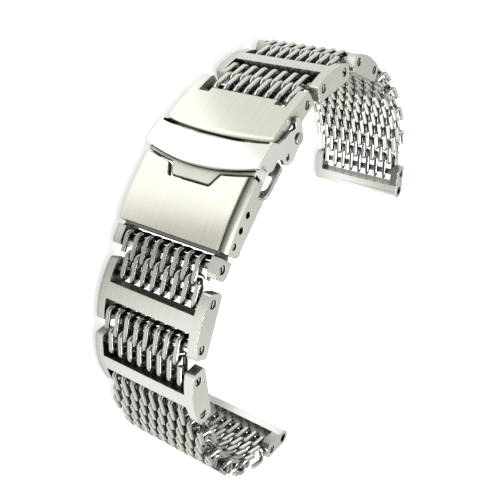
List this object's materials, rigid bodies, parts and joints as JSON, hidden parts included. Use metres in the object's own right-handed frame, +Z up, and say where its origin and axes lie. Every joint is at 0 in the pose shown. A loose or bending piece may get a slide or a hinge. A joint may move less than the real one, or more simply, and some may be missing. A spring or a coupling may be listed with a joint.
{
  "type": "watch bracelet",
  "caption": "Shark mesh watch bracelet: rows of interlocked flattened wire loops and H-shaped frames, closed by a folding clasp with an arched cover, adjuster holes and a safety lock.",
  "frame": {"origin": "middle of the loop's bounding box in plan, on the surface that the strap's lower edge lies on", "axes": "+Z up along the strap's width and all hinge axes; +X along the clasp's length, from the adjuster end towards the safety lock; +Y from the wrist space out through the clasp"},
  "size_m": [0.0872, 0.0616, 0.0241],
  "materials": {
    "wire": "satin",
    "screw": "satin",
    "clasp_brushed": "brushed",
    "lock_polished": "polished",
    "blasted": "matte",
    "blade": "satin",
    "rivet": "satin",
    "spring_bar": "satin",
    "link_brushed": "brushed"
  },
  "bodies": {
    "cover": {"clasp_cover": "clasp_brushed", "blade_rivets": "rivet"},
    "outer_arm": {"outer_blade": "blade", "fold_pin": "rivet"},
    "inner_arm": {"inner_blade": "blade", "latch_head": "blasted", "end_pin": "rivet"},
    "lock": {"safety_lock": "lock_polished"},
    "end_plate": {"upper_end_plate": "clasp_brushed", "upper_end_plate_screw": "screw"},
    "adjuster": {"adjuster_link": "link_brushed", "adjuster_link_screw": "screw", "spring_bar_sleeve": "spring_bar", "spring_bar_spring": "spring_bar"},
    "bar_tip_top": {"spring_bar_tip_top": "spring_bar"},
    "bar_tip_bottom": {"spring_bar_tip_bottom": "spring_bar"},
    "lower_link_1_row_1": {"lower_link_1_row_1": "wire"},
    "lower_link_1_row_2": {"lower_link_1_row_2": "wire"},
    "lower_frame_1": {"lower_frame_1": "link_brushed", "lower_frame_1_screws": "screw"},
    "lower_link_2_row_1": {"lower_link_2_row_1": "wire"},
    "lower_link_2_row_2": {"lower_link_2_row_2": "wire"},
    "lower_frame_2": {"lower_frame_2": "link_brushed", "lower_frame_2_screws": "screw"},
    "lower_mesh_row_01": {"lower_mesh_row_01": "wire"},
    "lower_mesh_row_02": {"lower_mesh_row_02": "wire"},
    "lower_mesh_row_03": {"lower_mesh_row_03": "wire"},
    "lower_mesh_row_04": {"lower_mesh_row_04": "wire"},
    "lower_mesh_row_05": {"lower_mesh_row_05": "wire"},
    "lower_mesh_row_06": {"lower_mesh_row_06": "wire"},
    "lower_mesh_row_07": {"lower_mesh_row_07": "wire"},
    "lower_mesh_row_08": {"lower_mesh_row_08": "wire"},
    "lower_mesh_row_09": {"lower_mesh_row_09": "wire"},
    "lower_mesh_row_10": {"lower_mesh_row_10": "wire"},
    "lower_mesh_row_11": {"lower_mesh_row_11": "wire"},
    "lower_mesh_lug_end": {"lower_mesh_lug_end": "link_brushed", "lower_mesh_lug_end_screw": "screw"},
    "upper_link_1_row_1": {"upper_link_1_row_1": "wire"},
    "upper_link_1_row_2": {"upper_link_1_row_2": "wire"},
    "upper_frame_1": {"upper_frame_1": "link_brushed", "upper_frame_1_screws": "screw"},
    "upper_link_2_row_1": {"upper_link_2_row_1": "wire"},
    "upper_link_2_row_2": {"upper_link_2_row_2": "wire"},
    "upper_frame_2": {"upper_frame_2": "link_brushed", "upper_frame_2_screws": "screw"},
    "upper_mesh_row_01": {"upper_mesh_row_01": "wire"},
    "upper_mesh_row_02": {"upper_mesh_row_02": "wire"},
    "upper_mesh_row_03": {"upper_mesh_row_03": "wire"},
    "upper_mesh_row_04": {"upper_mesh_row_04": "wire"},
    "upper_mesh_row_05": {"upper_mesh_row_05": "wire"},
    "upper_mesh_row_06": {"upper_mesh_row_06": "wire"},
    "upper_mesh_row_07": {"upper_mesh_row_07": "wire"},
    "upper_mesh_row_08": {"upper_mesh_row_08": "wire"},
    "upper_mesh_row_09": {"upper_mesh_row_09": "wire"},
    "upper_mesh_row_10": {"upper_mesh_row_10": "wire"},
    "upper_mesh_row_11": {"upper_mesh_row_11": "wire"},
    "upper_mesh_lug_end": {"upper_mesh_lug_end": "link_brushed", "upper_mesh_lug_end_screw": "screw"}
  },
  "joints": [
    {"name": "outer_blade_hinge", "type": "hinge", "parent": "cover", "child": "outer_arm", "pos_m": [-0.00263, 0.02587, 0.01206], "axis": [0, 0, 1], "range_deg": [0, 150]},
    {"name": "inner_blade_hinge", "type": "hinge", "parent": "outer_arm", "child": "inner_arm", "pos_m": [-0.01023, 0.02227, 0.01206], "axis": [0, 0, 1], "range_deg": [-150, 0]},
    {"name": "safety_lock_hinge", "type": "hinge", "parent": "inner_arm", "child": "lock", "pos_m": [0.01157, 0.02417, 0.01206], "axis": [0, 0, -1], "range_deg": [0, 95]},
    {"name": "end_plate_hinge", "type": "hinge", "parent": "inner_arm", "child": "end_plate", "pos_m": [0.01157, 0.02417, 0.01206], "axis": [0, 0, 1], "range_deg": [-12, 1]},
    {"name": "adjuster_hinge", "type": "hinge", "parent": "cover", "child": "adjuster", "pos_m": [-0.01065, 0.02618, 0.01206], "axis": [0, 0, -1], "range_deg": [-8, 4]},
    {"name": "bar_tip_top_slide", "type": "slide", "parent": "adjuster", "child": "bar_tip_top", "axis": [0, 0, -1], "range_m": [0, 0.0012], "stiffness_N_per_m": 300, "springref_m": -0.0005, "deforming": ["spring_bar_spring"]},
    {"name": "bar_tip_bottom_slide", "type": "slide", "parent": "adjuster", "child": "bar_tip_bottom", "axis": [0, 0, 1], "range_m": [0, 0.0012], "stiffness_N_per_m": 300, "springref_m": -0.0005, "deforming": ["spring_bar_spring"]},
    {"name": "lower_link_1_row_1_hinge", "type": "hinge", "parent": "adjuster", "child": "lower_link_1_row_1", "pos_m": [-0.01463, 0.02537, 0.01206], "axis": [0, 0, -1], "range_deg": [-2, 8]},
    {"name": "lower_link_1_row_2_hinge", "type": "hinge", "parent": "lower_link_1_row_1", "child": "lower_link_1_row_2", "pos_m": [-0.01728, 0.0243, 0.01206], "axis": [0, 0, -1], "range_deg": [-2, 8]},
    {"name": "lower_frame_1_hinge", "type": "hinge", "parent": "lower_link_1_row_2", "child": "lower_frame_1", "pos_m": [-0.01987, 0.02311, 0.01206], "axis": [0, 0, -1], "range_deg": [-2, 8]},
    {"name": "lower_link_2_row_1_hinge", "type": "hinge", "parent": "lower_frame_1", "child": "lower_link_2_row_1", "pos_m": [-0.02685, 0.01987, 0.01206], "axis": [0, 0, -1], "range_deg": [-2, 8]},
    {"name": "lower_link_2_row_2_hinge", "type": "hinge", "parent": "lower_link_2_row_1", "child": "lower_link_2_row_2", "pos_m": [-0.02924, 0.01832, 0.01206], "axis": [0, 0, -1], "range_deg": [-2, 8]},
    {"name": "lower_frame_2_hinge", "type": "hinge", "parent": "lower_link_2_row_2", "child": "lower_frame_2", "pos_m": [-0.03129, 0.01634, 0.01206], "axis": [0, 0, -1], "range_deg": [-2, 8]},
    {"name": "lower_mesh_row_01_hinge", "type": "hinge", "parent": "lower_frame_2", "child": "lower_mesh_row_01", "pos_m": [-0.03546, 0.00987, 0.01206], "axis": [0, 0, -1], "range_deg": [-2, 8]},
    {"name": "lower_mesh_row_02_hinge", "type": "hinge", "parent": "lower_mesh_row_01", "child": "lower_mesh_row_02", "pos_m": [-0.03699, 0.007, 0.01206], "axis": [0, 0, -1], "range_deg": [-2, 8]},
    {"name": "lower_mesh_row_03_hinge", "type": "hinge", "parent": "lower_mesh_row_02", "child": "lower_mesh_row_03", "pos_m": [-0.03855, 0.00392, 0.01206], "axis": [0, 0, -1], "range_deg": [-2, 8]},
    {"name": "lower_mesh_row_04_hinge", "type": "hinge", "parent": "lower_mesh_row_03", "child": "lower_mesh_row_04", "pos_m": [-0.03996, 0.00077, 0.01206], "axis": [0, 0, -1], "range_deg": [-2, 8]},
    {"name": "lower_mesh_row_05_hinge", "type": "hinge", "parent": "lower_mesh_row_04", "child": "lower_mesh_row_05", "pos_m": [-0.04102, -0.00251, 0.01206], "axis": [0, 0, -1], "range_deg": [-2, 8]},
    {"name": "lower_mesh_row_06_hinge", "type": "hinge", "parent": "lower_mesh_row_05", "child": "lower_mesh_row_06", "pos_m": [-0.04168, -0.00589, 0.01206], "axis": [0, 0, -1], "range_deg": [-2, 8]},
    {"name": "lower_mesh_row_07_hinge", "type": "hinge", "parent": "lower_mesh_row_06", "child": "lower_mesh_row_07", "pos_m": [-0.04186, -0.00934, 0.01206], "axis": [0, 0, -1], "range_deg": [-2, 8]},
    {"name": "lower_mesh_row_08_hinge", "type": "hinge", "parent": "lower_mesh_row_07", "child": "lower_mesh_row_08", "pos_m": [-0.0415, -0.01277, 0.01206], "axis": [0, 0, -1], "range_deg": [-2, 8]},
    {"name": "lower_mesh_row_09_hinge", "type": "hinge", "parent": "lower_mesh_row_08", "child": "lower_mesh_row_09", "pos_m": [-0.04061, -0.0161, 0.01206], "axis": [0, 0, -1], "range_deg": [-2, 8]},
    {"name": "lower_mesh_row_10_hinge", "type": "hinge", "parent": "lower_mesh_row_09", "child": "lower_mesh_row_10", "pos_m": [-0.03921, -0.01926, 0.01206], "axis": [0, 0, -1], "range_deg": [-2, 8]},
    {"name": "lower_mesh_row_11_hinge", "type": "hinge", "parent": "lower_mesh_row_10", "child": "lower_mesh_row_11", "pos_m": [-0.03733, -0.02215, 0.01206], "axis": [0, 0, -1], "range_deg": [-2, 8]},
    {"name": "lower_mesh_lug_end_hinge", "type": "hinge", "parent": "lower_mesh_row_11", "child": "lower_mesh_lug_end", "pos_m": [-0.03519, -0.0246, 0.01206], "axis": [0, 0, -1], "range_deg": [-2, 8]},
    {"name": "upper_link_1_row_1_hinge", "type": "hinge", "parent": "end_plate", "child": "upper_link_1_row_1", "pos_m": [0.01742, 0.02537, 0.01206], "axis": [0, 0, 1], "range_deg": [-2, 8]},
    {"name": "upper_link_1_row_2_hinge", "type": "hinge", "parent": "upper_link_1_row_1", "child": "upper_link_1_row_2", "pos_m": [0.02005, 0.02428, 0.01206], "axis": [0, 0, 1], "range_deg": [-2, 8]},
    {"name": "upper_frame_1_hinge", "type": "hinge", "parent": "upper_link_1_row_2", "child": "upper_frame_1", "pos_m": [0.02264, 0.02309, 0.01206], "axis": [0, 0, 1], "range_deg": [-2, 8]},
    {"name": "upper_link_2_row_1_hinge", "type": "hinge", "parent": "upper_frame_1", "child": "upper_link_2_row_1", "pos_m": [0.02931, 0.01925, 0.01206], "axis": [0, 0, 1], "range_deg": [-2, 8]},
    {"name": "upper_link_2_row_2_hinge", "type": "hinge", "parent": "upper_link_2_row_1", "child": "upper_link_2_row_2", "pos_m": [0.03182, 0.01789, 0.01206], "axis": [0, 0, 1], "range_deg": [-2, 8]},
    {"name": "upper_frame_2_hinge", "type": "hinge", "parent": "upper_link_2_row_2", "child": "upper_frame_2", "pos_m": [0.03414, 0.01623, 0.01206], "axis": [0, 0, 1], "range_deg": [-2, 8]},
    {"name": "upper_mesh_row_01_hinge", "type": "hinge", "parent": "upper_frame_2", "child": "upper_mesh_row_01", "pos_m": [0.03775, 0.00944, 0.01206], "axis": [0, 0, 1], "range_deg": [-2, 8]},
    {"name": "upper_mesh_row_02_hinge", "type": "hinge", "parent": "upper_mesh_row_01", "child": "upper_mesh_row_02", "pos_m": [0.03908, 0.00647, 0.01206], "axis": [0, 0, 1], "range_deg": [-2, 8]},
    {"name": "upper_mesh_row_03_hinge", "type": "hinge", "parent": "upper_mesh_row_02", "child": "upper_mesh_row_03", "pos_m": [0.04026, 0.00322, 0.01206], "axis": [0, 0, 1], "range_deg": [-2, 8]},
    {"name": "upper_mesh_row_04_hinge", "type": "hinge", "parent": "upper_mesh_row_03", "child": "upper_mesh_row_04", "pos_m": [0.04115, -0.00011, 0.01206], "axis": [0, 0, 1], "range_deg": [-2, 8]},
    {"name": "upper_mesh_row_05_hinge", "type": "hinge", "parent": "upper_mesh_row_04", "child": "upper_mesh_row_05", "pos_m": [0.04169, -0.00352, 0.01206], "axis": [0, 0, 1], "range_deg": [-2, 8]},
    {"name": "upper_mesh_row_06_hinge", "type": "hinge", "parent": "upper_mesh_row_05", "child": "upper_mesh_row_06", "pos_m": [0.04187, -0.00696, 0.01206], "axis": [0, 0, 1], "range_deg": [-2, 8]},
    {"name": "upper_mesh_row_07_hinge", "type": "hinge", "parent": "upper_mesh_row_06", "child": "upper_mesh_row_07", "pos_m": [0.04169, -0.01041, 0.01206], "axis": [0, 0, 1], "range_deg": [-2, 8]},
    {"name": "upper_mesh_row_08_hinge", "type": "hinge", "parent": "upper_mesh_row_07", "child": "upper_mesh_row_08", "pos_m": [0.04115, -0.01381, 0.01206], "axis": [0, 0, 1], "range_deg": [-2, 8]},
    {"name": "upper_mesh_row_09_hinge", "type": "hinge", "parent": "upper_mesh_row_08", "child": "upper_mesh_row_09", "pos_m": [0.0402, -0.01713, 0.01206], "axis": [0, 0, 1], "range_deg": [-2, 8]},
    {"name": "upper_mesh_row_10_hinge", "type": "hinge", "parent": "upper_mesh_row_09", "child": "upper_mesh_row_10", "pos_m": [0.03885, -0.02031, 0.01206], "axis": [0, 0, 1], "range_deg": [-2, 8]},
    {"name": "upper_mesh_row_11_hinge", "type": "hinge", "parent": "upper_mesh_row_10", "child": "upper_mesh_row_11", "pos_m": [0.03713, -0.02329, 0.01206], "axis": [0, 0, 1], "range_deg": [-2, 8]},
    {"name": "upper_mesh_lug_end_hinge", "type": "hinge", "parent": "upper_mesh_row_11", "child": "upper_mesh_lug_end", "pos_m": [0.03522, -0.02592, 0.01206], "axis": [0, 0, 1], "range_deg": [-2, 8]}
  ],
  "couplings": [
    {"joint": "inner_blade_hinge", "follows": "outer_blade_hinge", "ratio": -1}
  ]
}
